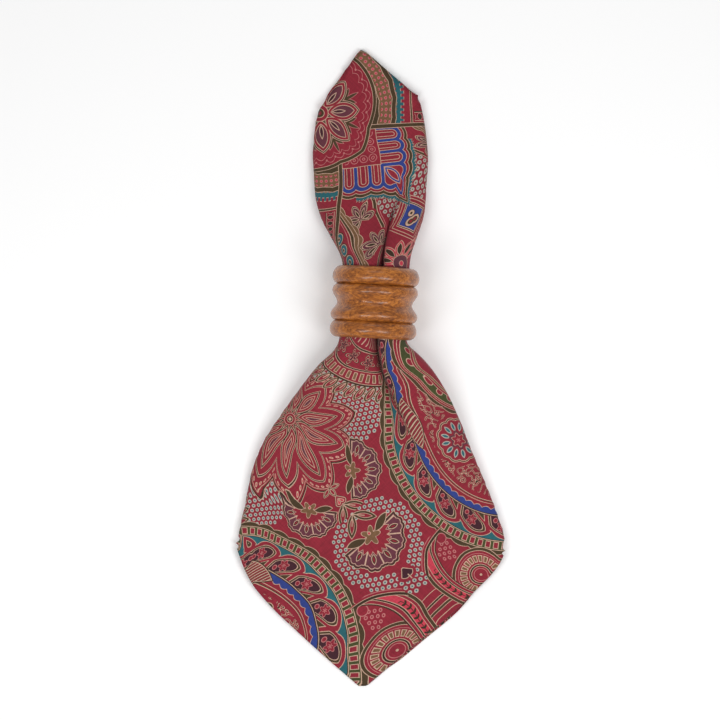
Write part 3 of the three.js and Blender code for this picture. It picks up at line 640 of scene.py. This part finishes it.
# The great wheel, from its rim inwards: scallops, a ladder, drops with rosettes, a blue band under a hatched plume,
# and vines along the middle of a noise.
def wheel(x, w):
    reach, turn = polar(88.7 - w, x - 46)
    deep = 65 - reach
    scallop = wrapped(turn * 66, 9.6)
    yield deep + 0.35 - scallop * scallop * 0.05, "- 0 cream 0.26 olive", below(-2 - deep)
    yield deep, "- 1.9 cream 2.2 green 6.2 cream 6.5 dark 6.85 teal 10.4 olive 17.3 -"
    rung = node("MAXIMUM", abs(wrapped(turn * 60.6, 4.0)) - 1.0, abs(deep - 4.3) - 1.3)
    yield rung, "crimson 0 cream 0.34 -", below(abs(deep - 4.3) - 1.9)
    step = turn * 51.4 + 8.6
    slope = node("MAXIMUM", deep - 10, 0) * 1.05
    across = wrapped(step - slope + 3.36, 15.2)
    drop = far(across * 0.73, node("MINIMUM", deep - 13.2, 0)) + node("MAXIMUM", deep - 13.2, 0) * 0.5
    yield (drop, "deepPlum 3.5 cream 3.75 olive 4.35 cream 4.6 crimson 5.95 cream 6.2 -",
           below(6.85 - deep) * below(deep - 17.3))
    level = wrapped(step, 15.2)
    around, spin = polar(deep - 13, level)
    flower = around - 0.5 * node("COSINE", 6 * spin)
    yield flower, "pink 0.6 crimson 1.95 pink 2.3 -"
    yield far(level - 3.5, deep - 15.4), "crimson 0.8 pink 1.15 -"
    yield deep, "- 17.0 dark 17.35 cream 17.65 dark 18.1 blue"
    wave = deep - abs(node("COSINE", turn * (45 * pi / 4.3)))
    yield wave, "- 19.9 cream 20.2 crimson"
    yield deep, "- 22.5 cream 22.75 crimson 23.3 olive 23.7 cream 24.0 -"
    feather = abs(deep - 20.3) - 3.7 + (turn - 0.68) * (turn - 0.68) * 55
    yield feather, "crimson -0.4 cream -0.15 dark 0.3 -"
    barb = abs(wrapped(turn * 44 - deep * 0.9, 1.7))
    yield barb, "cream 0.26 dark 0.5 -", below(feather + 0.4)
    vine = abs(cloud(x, w, 0.36, 0.0) - 0.5)
    yield vine * 20, "crimson 1.0 cream 1.9 dark 2.5 -", below(abs(deep - 31.6) - 5.4)


# A round rosette in the wheel, with teal petals in a scalloped ring.
def rosette(x, w):
    reach, turn = polar(w - 64.3, x - 54.8)
    ruffle = reach - 0.8 * abs(node("COSINE", turn * 6))
    yield ruffle, "crimson 9.4 cream 9.7 olive 10.2 cream 10.5 crimson 12 -"
    part = wrapped(turn, pi / 6)
    yield petal(reach, part, 4.8, 4.0, 1.6), "teal -0.2 pale 0.25 -"
    heart = reach - 0.7 * node("COSINE", turn * 6)
    yield heart, "pink 0.5 crimson 2.7 cream 3.0 plum 4.2 -"


# The small wheel at the ring's side: scallops and leaf green triangles.
def smallWheel(x, w):
    reach, turn = polar(92.5 - w, x - 73.5)
    deep = 21 - reach
    scallop = wrapped(turn * 21, 8.2)
    yield deep + 0.3 - scallop * scallop * 0.06, "- 0 cream 0.3 olive", below(-2 - deep)
    yield deep, "- 1.8 cream 2.05 crimson 3.0 cream 3.25 crimson 4.0 cream 4.3 green"
    arch = far(wrapped(turn * 14, 5.6), node("MINIMUM", deep - 7.6, 0))
    yield arch, "crimson 1.3 cream 1.65 -", below(4.6 - deep)
    yield deep, "- 8.6 cream 8.9 crimson 10 cream 10.3 taupe 11.4 cream 11.7 crimson"


# Two hooks face each other across the axis, with a sprig along each; inside each, a comb goes round a small eye.
def hooks(x, w):
    inHook = far(x - 8, w - 36.5) - 23.5
    outer = far(x - 1.5, w - 27.8) - 28.6
    inside = below(outer) * below(0.1 - inHook)
    yield (inHook, "cream 0 dark 0.6 cream 0.85 crimson 2.2 cream 2.45 dark 3.1 cream 3.35 rose 6.6 cream 6.85 "
                   "crimson 8.0 cream 8.25 olive 9.6 cream 9.85 crimson", inside)
    aside, step = abs(inHook - 5), wrapped(node("ARCTAN2", w - 36.5, x - 8) * 28, 2.7) + 0.7
    blade = leaf((aside + step) * slant, (aside - step) * slant, 2.0, 0.95)
    sprig = node("MINIMUM", blade, aside - 0.16)
    yield sprig, "dark 0 -", below(aside - 1.5) * below(x - 19) * below(outer)
    yield (outer, "- -1.2 cream -0.95 dark 0.2 cream 0.45 crimson 1.4 pink 1.75 -",
           below(x - 31) * below(0.1 - inHook) * below(6 - w))
    curl = far(x - 26.5, w - 25.2)
    yield curl, "crimson 2.2 pink 2.6 -", below(inHook)
    reach, turn = polar((w - 24.5) * 0.74, x - 3)
    inComb = below(inHook) * below(w - 44)
    yield (reach, "cream 0.5 crimson 2.6 pink 2.9 crimson 3.6 cream 3.85 dark 4.5 cream 4.75 crimson 9 pink 9.25 "
                  "crimson 10.2 cream 10.45 olive 11.5 cream 11.75 -", inComb)
    tab = node("MAXIMUM", abs(wrapped(turn * 7, 2.2)) - 0.5, abs(reach - 7) - 1.1)
    yield tab, "taupe 0 cream 0.36 -", inComb
    ripple = far(x + 3, w * 0.8)
    yield (ripple, "crimson 5 cream 5.3 crimson 7.4 cream 7.65 olive 8.6 cream 8.85 crimson 11 cream 11.25 dark 12 "
                   "cream 12.25 crimson 15.5 cream 15.75 -", below(9.9 - inHook))


# The upper part. Between the two dark lines stands a fan of tongues, pointed on the axis, in several outlines;
# nearer the ring are rows of dots, a diamond and a flower with petals like flames.
def fan(x, w):
    spot, cx, cy = dotGrid(x, w)
    field = node("MAXIMUM", abs(cx - 166) - 9, abs(cy - 9) - 5.2)
    yield spot, "taupe 0.36 pale 0.92 -", below(field)
    diamond = abs(x - 151) * 0.55 + w * 0.83 - 5.2
    yield (diamond, "blue -0.2 cream 0.1 dark 0.5 cream 0.8 crimson 2.1 cream 2.4 crimson 3.4 cream 3.7 -",
           below(x - 166))
    swirl = node("MINIMUM", far(x - 149, w - 1.0) - 2.0, far(x - 153.6, w + 0.2) - 1.3)
    yield swirl, "crimson -1.2 olive -0.5 cream 0.4 dark 0.7 -"
    forward = (x - 127) * 0.926 - (w - 11.5) * 0.376
    side = abs((x - 127) * 0.376 + (w - 11.5) * 0.926)
    reach, turn = polar(forward, side)
    flame = petal(reach, wrapped(turn, 0.52), 4, 10, 4)
    yield flame, "dark -0.9 cream -0.6 rose 0.1 cream 0.4 -", below(turn - 1.4)
    yield reach, "rose 1.2 cream 1.5 plum 4.6 cream 4.9 -"
    s = 225 - x
    a, b = (s + w) * slant, (s - w) * slant
    across = wrapped(b - 12.3, 6.5)
    tip = node("MINIMUM", 36.3 - a, 0)
    tongue = far(across, tip)
    point = node("MAXIMUM", 1 - w * 0.3, 0) * 2.2 * below(46 - s)
    shape = tongue - 4.2 - point
    ahead = below(8.2 - b) * below(26 - s)
    yield shape, "crimson -2.0 cream -1.75 blue 0 cream 0.28 crimson 1.3 cream 1.58 olive 2.8 cream 3.08 -", ahead
    comb = shape + abs(wrapped(a + b, 1.5)) * 1.4
    yield comb, "teal 4.9 cream 5.15 -", ahead * below(3.08 - shape) * below(16 - b)
    yield tongue, "crimson 0.9 cream 1.2 crimson 2.2 cream 2.5 -", below(shape) * ahead * below(b - 28.5)
    bud = leaf(s - 42.5, w, 10, 4.2)
    yield bud, "crimson -0.9 cream -0.6 blue 0.1 cream 0.4 -", ahead
    yield a, "crimson 28 cream 28.3 -", ahead
    fringe = far(wrapped(b - 11, 4.4), wrapped(a - 24.6, 6.4))
    yield fringe, "crimson 0.4 pink 0.75 crimson 1.6 pink 1.95 -", ahead * below(a - 27.4)


# Arcs beyond the fan: cream and olive lines with scallops below them, plum flowers, teal scrolls.
def arcs(x, w):
    high = far(x - 190, w - 90) - 63
    low = far(x - 183, w - 54.8) - 40
    yield low, "crimson -0.9 cream -0.6 olive 0.5 cream 0.8 crimson 1.5 pink 1.8 -"
    across, up = wrapped(x - 173, 17), w - 25 + (x - 173) * 0.25
    reach, turn = polar(across, up)
    part = wrapped(turn, 0.9)
    petals = (reach - 7.6) * 0.8 + part * part * 11 + abs(part) * 2.2
    bloom = node("MAXIMUM", petals, (abs(turn) - 2.2) * reach)
    yield bloom, "plum -0.5 cream -0.2 dark 0.2 cream 0.5 crimson 1.4 -", below(abs(x - 165) - 17)
    vein = leaf(reach - 1.2, part * reach, 4.4, 1.2)
    yield vein, "dark -0.1 cream 0.22 -", below(bloom)
    drop = wrapped(x - 190, 6.5)
    yield high + drop * drop * 0.08, "crimson -30 - -2.6 taupe 0.4 cream 0.7 -"
    yield (high, "crimson -14 pink -13.6 crimson -4.4 pink -4.1 crimson -3.4 cream -3.1 olive -2.3 cream -2.0 "
                 "taupe -1.0 cream -0.75 -")
    scroll = far(wrapped(x - 166.4, 6.5), high + 8.5)
    yield scroll, "dark 0.7 cream 1.0 teal 2.5 cream 2.8 dark 3.2 -", below(high + 5) * below(abs(x - 166.4) - 9.7)


# The medallion: a star of petals, sprigs between them and two scalloped lines inside a dark outline.
def medallion(x, w):
    reach, turn = polar(225 - x, w)
    border = reach - 25.1 - 2.2 * abs(1 - turn * 2.2)
    yield border, "crimson 0 cream 0.25 olive 1.7 cream 1.95 -"
    scallop = wrapped(turn * 24, 5.0)
    lace = border + scallop * scallop * 0.28
    yield lace, "crimson -3.4 pink -3.1 crimson -1.2 pink -0.9 -", below(border + 0.4)
    bead = far(wrapped(scallop + 2.5, 5.0), border + 2.6)
    yield bead, "pink 0.5 -"
    between = wrapped(turn + pi / 8, pi / 4)
    ahead, aside = reach * node("COSINE", between) - 14, abs(reach * node("SINE", between))
    sideBlade = leaf(ahead * 0.75 + aside * 0.66, aside * 0.75 - ahead * 0.66, 6, 1.6)
    twig = node("MINIMUM", leaf(ahead + 1, aside, 8.5, 1.5), sideBlade)
    yield twig, "olive -0.05 pink 0.2 -"
    part = wrapped(turn, pi / 4)
    yield petal(reach, part, 3.2, 16.6, 9.2), "plum -2.0 cream -1.7 crimson -0.6 cream -0.3 dark 0.2 cream 0.45 -"
    yield petal(reach, part, 6, 7.0, 1.7), "deepPlum -0.25 cream 0.1 -"
    yield reach, "crimson 4.2 -"
    yield reach, "crimson 0.9 olive 2.0 cream 2.3 crimson 3.9 cream 4.2 -"


# Beyond the two dark lines: a taupe band with berries round the medallion, a teal comb, and a row of leaves along
# each line.
def rim(x, w):
    reach, turn = polar(225 - x, w)
    beyond = (w - 213.5 + x) * slant
    side = below(0 - beyond)
    wavy = reach + 0.5 * abs(node("SINE", turn * 14))
    yield wavy, "crimson 28 olive 30.4 cream 30.7 taupe 37.2 cream 37.5 olive 39.6 cream 39.9 -", side
    berry = far(wrapped(turn * 34, 2.6), wrapped(reach - 34, 2.5))
    yield berry, "rose 0.45 pink 0.8 -", below(abs(reach - 34) - 2.6) * side
    comb = reach + 1.6 * below(abs(wrapped(turn * 42, 2.4)) - 0.6)
    yield comb, "- 39.9 teal 43.6 cream 43.9 crimson 50 -", side * below(39.9 - wavy)
    yield reach, "- 47.2 cream 47.5 olive 48.3 cream 48.6 crimson 61 -", side
    outside = below(49.5 - reach) * side
    yield beyond, "- 1.9 cream 2.2 crimson 6.2 cream 6.5 dark 7.0 -", outside
    blade = leaf(beyond - 2.6, wrapped((x - w) * slant, 2.9), 3.2, 1.7)
    yield blade, "dark 0.05 pink 0.35 -", outside
    edge = node("MAXIMUM", abs(beyond) - 0.85, 24 - reach)
    yield edge, "olive 0 cream 0.28 -"


# Each motif is a run of layers, as distance, bands and where, one inked over the other. It is drawn in a node group
# of its own, which takes the cloth's colour so far and the place in the print.
def stamp(motif, cloth, x, w):
    group = bpy.data.node_groups.new(motif.__name__, "ShaderNodeTree")
    for name, kind in (("cloth", "NodeSocketColor"), ("x", "NodeSocketFloat"), ("w", "NodeSocketFloat")):
        group.interface.new_socket(name, in_out="INPUT", socket_type=kind)
    group.interface.new_socket("inked", in_out="OUTPUT", socket_type="NodeSocketColor")
    outside, drawing["tree"] = drawing["tree"], group
    inked, *place = (Output(socket) for socket in group.nodes.new("NodeGroupInput").outputs[:3])
    for layer in motif(*place):
        inked = bands(inked, *layer)
    group.links.new(inked.socket, group.nodes.new("NodeGroupOutput").inputs[0])
    drawing["tree"] = outside
    placed = drawing["tree"].nodes.new("ShaderNodeGroup")
    placed.node_tree = group
    for socket, value in zip(placed.inputs, (cloth, x, w)):
        if isinstance(value, Output):
            drawing["tree"].links.new(value.socket, socket)
        else:
            socket.default_value = value
    return Output(placed.outputs[0])


# Where the print is mirrored, in millimetres of the flat cloth: about an axis for each design, about two lines of
# the lower one, and the upper one takes over where the two sides add up to its start.
repeat = {"lowerAxis": 54.5, "turnX": 139, "turnW": 96, "upperAxis": 191.3, "upperStart": 268}


# The whole print: the lower design, and the upper one beyond the ring.
def napkinPrint(u, v):
    x, w = abs(u), abs(abs(v) - repeat["lowerAxis"])
    lowX = repeat["turnX"] - abs(x - repeat["turnX"])
    lowW = repeat["turnW"] - abs(w - repeat["turnW"])
    cloth = toLinear(inks["crimson"])
    for motif in (dots, starFlower, carnations, sprigs, ladderArc, wheel, rosette, smallWheel, hooks):
        cloth = stamp(motif, cloth, lowX, lowW)
    highW = abs(abs(v) - repeat["upperAxis"])
    upper = toLinear(inks["crimson"])
    for motif in (arcs, fan, rim, medallion):
        upper = stamp(motif, upper, x, highW)
    beyondRing = below(repeat["upperStart"] - x - abs(v))
    return node("ShaderNodeMix", give=2, data_type="RGBA", links={0: beyondRing, 6: cloth, 7: upper})


# Starts a material, whose nodes are the ones that are written from here on; returns it and its shader.
def startMaterial(name):
    material = bpy.data.materials.new(name)
    material.use_nodes = True
    drawing["tree"] = material.node_tree
    return material, material.node_tree.nodes["Principled BSDF"]


# A place on the flat cloth in millimetres from its middle, from one of the two layers.
def flatPlace(layer):
    place = node("ShaderNodeSeparateXYZ", node("ShaderNodeUVMap", uv_map=layer))
    across, up = place, Output(place.socket.node.outputs["Y"])
    return (across - 0.5) * napkin["side"], (up - 0.5) * napkin["side"]


# Printed cotton: the inks are a little uneven; the colour is also painted darker in the thread gaps and lighter on
# the raised threads, a painted shade of the weave. The plain weave is drawn at 0.9 mm a thread where the real one is
# near 0.4 mm, so that it still shows, and a soft sheen whitens the turned edges.
cotton = {
    "thread": 0.9, "plain": 0.48, "weaveShade": 0.08, "slub": 0.34, "patch": 0.2, "slubScale": 1.4, "slubDraw": 0.12,
    "patchScale": 0.07, "hemAt": 2.2, "hemSlope": 1.3, "weaveRelief": 0.05, "slubRelief": 0.08, "hemRelief": 0.25,
    "roughness": 0.82, "sheen": 0.06, "sheenRoughness": 0.45, "ior": 1.38, "bump": 0.55,
}


def cottonMaterial():
    material, shader = startMaterial("printed_cotton")
    tree = material.node_tree
    colour = napkinPrint(*flatPlace("print"))
    warp, weft = flatPlace("cloth")
    thread, drawn, scale = 2 * pi / cotton["thread"], cotton["slubDraw"], cotton["slubScale"]
    # The weave's ups and downs: they raise the bump, and the same pattern is painted into the colour as shade in the
    # gaps and a lighter tint on the threads.
    over = node("SINE", warp * thread) * node("SINE", weft * thread)
    slub = cloud(warp, weft * drawn, scale) + cloud(warp * drawn, weft, scale)
    patch = cloud(warp, weft, cotton["patchScale"])
    # The cloth's brightness: uneven tone from slubs and patches, plus the weave's painted shade.
    toneAndWeaveShade = over * cotton["weaveShade"] + slub * cotton["slub"] + patch * cotton["patch"] + cotton["plain"]
    tinted = node("ShaderNodeVectorMath", operation="SCALE", links={0: colour, 3: toneAndWeaveShade})
    fromEdge = quarter - node("MAXIMUM", abs(warp), abs(weft))
    fold = node("MINIMUM", abs(fromEdge - cotton["hemAt"]) * cotton["hemSlope"], pi)
    hem = node("MULTIPLY_ADD", node("COSINE", fold), 0.5, 0.5)
    relief = over * cotton["weaveRelief"] + slub * cotton["slubRelief"] + hem * cotton["hemRelief"]
    bump = node("ShaderNodeBump", links={"Height": relief, "Strength": cotton["bump"], "Distance": 0.001})
    tree.links.new(tinted.socket, shader.inputs["Base Color"])
    tree.links.new(bump.socket, shader.inputs["Normal"])
    shader.inputs["Roughness"].default_value = cotton["roughness"]
    shader.inputs["IOR"].default_value = cotton["ior"]
    shader.inputs["Sheen Weight"].default_value = cotton["sheen"]
    shader.inputs["Sheen Roughness"].default_value = cotton["sheenRoughness"]
    count = len(tree.nodes) + sum(len(group.nodes) for group in bpy.data.node_groups)
    print(f"printed cotton: {count} nodes")
    return material


# Turned hardwood under a satin lacquer: the grain runs across the ring, so it is drawn long in x and fine in y and
# z; short dark pores lie along it, and the lacquer gives the small bright windows on each bead.
wood = {
    "light": "#C0762E", "mid": "#9A5820", "dark": "#6A3814", "pore": "#46260E", "darkAt": 0.36, "lightAt": 0.64,
    "grain": (330, 1100, 1100), "broad": (55, 200, 200), "pores": (500, 2300, 2300), "poreSize": 0.24,
    "poreDepth": 0.55, "grainShare": 0.65, "roughness": 0.42, "ior": 1.45, "specular": 0.3,
    "lacquer": 0.6, "lacquerRoughness": 0.15, "lacquerIor": 1.4,
}


def woodMaterial():
    material, shader = startMaterial("turned_wood")
    tree = material.node_tree
    place = node("ShaderNodeTexCoord", give="Object")
    grain = node("ShaderNodeMapping", place, links={3: wood["grain"]})
    streak = node("ShaderNodeTexNoise", links={"Vector": grain, "Scale": 1.0, "Detail": 3.0, "Distortion": 0.6})
    wider = node("ShaderNodeMapping", place, links={3: wood["broad"]})
    broad = node("ShaderNodeTexNoise", links={"Vector": wider, "Scale": 1.0, "Detail": 2.0, "Distortion": 0.8})
    tone = node("ShaderNodeValToRGB", streak * wood["grainShare"] + broad * (1 - wood["grainShare"]))
    stops = tone.socket.node.color_ramp
    stops.elements[0].position, stops.elements[0].color = wood["darkAt"], toLinear(wood["dark"])
    stops.elements[1].position, stops.elements[1].color = wood["lightAt"], toLinear(wood["light"])
    stops.elements.new(0.5).color = toLinear(wood["mid"])
    finer = node("ShaderNodeMapping", place, links={3: wood["pores"]})
    pore = below(node("ShaderNodeTexVoronoi", links={"Vector": finer, "Scale": 1.0}) - wood["poreSize"])
    colour = node("ShaderNodeMix", give=2, data_type="RGBA",
                  links={0: pore * wood["poreDepth"], 6: tone, 7: toLinear(wood["pore"])})
    bump = node("ShaderNodeBump", links={"Height": streak * 0.4 - pore * 0.3, "Strength": 0.25, "Distance": 0.0004})
    tree.links.new(colour.socket, shader.inputs["Base Color"])
    tree.links.new(bump.socket, shader.inputs["Normal"])
    shader.inputs["Roughness"].default_value = wood["roughness"]
    shader.inputs["IOR"].default_value = wood["ior"]
    shader.inputs["Specular IOR Level"].default_value = wood["specular"]
    shader.inputs["Coat Weight"].default_value = wood["lacquer"]
    shader.inputs["Coat Roughness"].default_value = wood["lacquerRoughness"]
    shader.inputs["Coat IOR"].default_value = wood["lacquerIor"]
    print("turned wood: done")
    return material


# A white table under soft light from two windows beside the set and one beyond it; the camera looks straight down.
stage = {
    "floor": "#FFFFFF", "floorHalf": 3.0, "sky": 0.36,
    "cameraX": -5.5, "cameraY": 3.75, "cameraHeight": 1605.0, "lens": 160.0,
    "lights": {"leftWindow": ((-0.34, -0.22, 0.8), (0.22, 0.5), 2.7),
               "rightWindow": ((0.34, -0.22, 0.8), (0.28, 0.5), 3.4),
               "farWindow": ((0.0, 0.9, 0.9), (0.9, 0.3), 1.4)},
}


def makeStage():
    mesh = bpy.data.meshes.new("floor")
    side = stage["floorHalf"]
    mesh.from_pydata([(-side, -side, 0), (side, -side, 0), (side, side, 0), (-side, side, 0)], [], [(0, 1, 2, 3)])
    floor = bpy.data.objects.new("floor", mesh)
    bpy.context.scene.collection.objects.link(floor)
    paper, shader = startMaterial("white_table")
    shader.inputs["Base Color"].default_value = toLinear(stage["floor"])
    shader.inputs["Roughness"].default_value = 0.9
    mesh.materials.append(paper)

    bpy.context.scene.view_settings.view_transform = "Standard"
    world = bpy.data.worlds.new("studio")
    bpy.context.scene.world = world
    world.use_nodes = True
    back = world.node_tree.nodes["Background"]
    back.inputs["Color"].default_value = toLinear("#FFFFFF")
    back.inputs["Strength"].default_value = stage["sky"]

    for name, (place, size, watts) in stage["lights"].items():
        light = bpy.data.lights.new(name, "AREA")
        light.shape, light.size, light.size_y, light.energy = "RECTANGLE", size[0], size[1], watts
        lamp = bpy.data.objects.new(name, light)
        lamp.location = place
        aim = -np.array(place)
        lamp.rotation_euler = (math.atan2(math.hypot(aim[0], aim[1]), -aim[2]), 0, math.atan2(-aim[0], aim[1]))
        bpy.context.scene.collection.objects.link(lamp)

    camera = bpy.data.objects.new("camera", bpy.data.cameras.new("camera"))
    camera.data.lens, camera.data.sensor_width = stage["lens"], 36.0
    camera.data.clip_start, camera.data.clip_end = 0.01, 10
    camera.location = (stage["cameraX"] * mm, stage["cameraY"] * mm, stage["cameraHeight"] * mm)
    bpy.context.scene.collection.objects.link(camera)
    bpy.context.scene.camera = camera
    print(f"stage: {len(stage['lights'])} windows")


makeStage()
cloth = makeNapkin()
cloth.data.materials.append(cottonMaterial())
turned = makeRing()
turned.data.materials.append(woodMaterial())
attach(turned, "root")
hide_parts("napkin_ring")
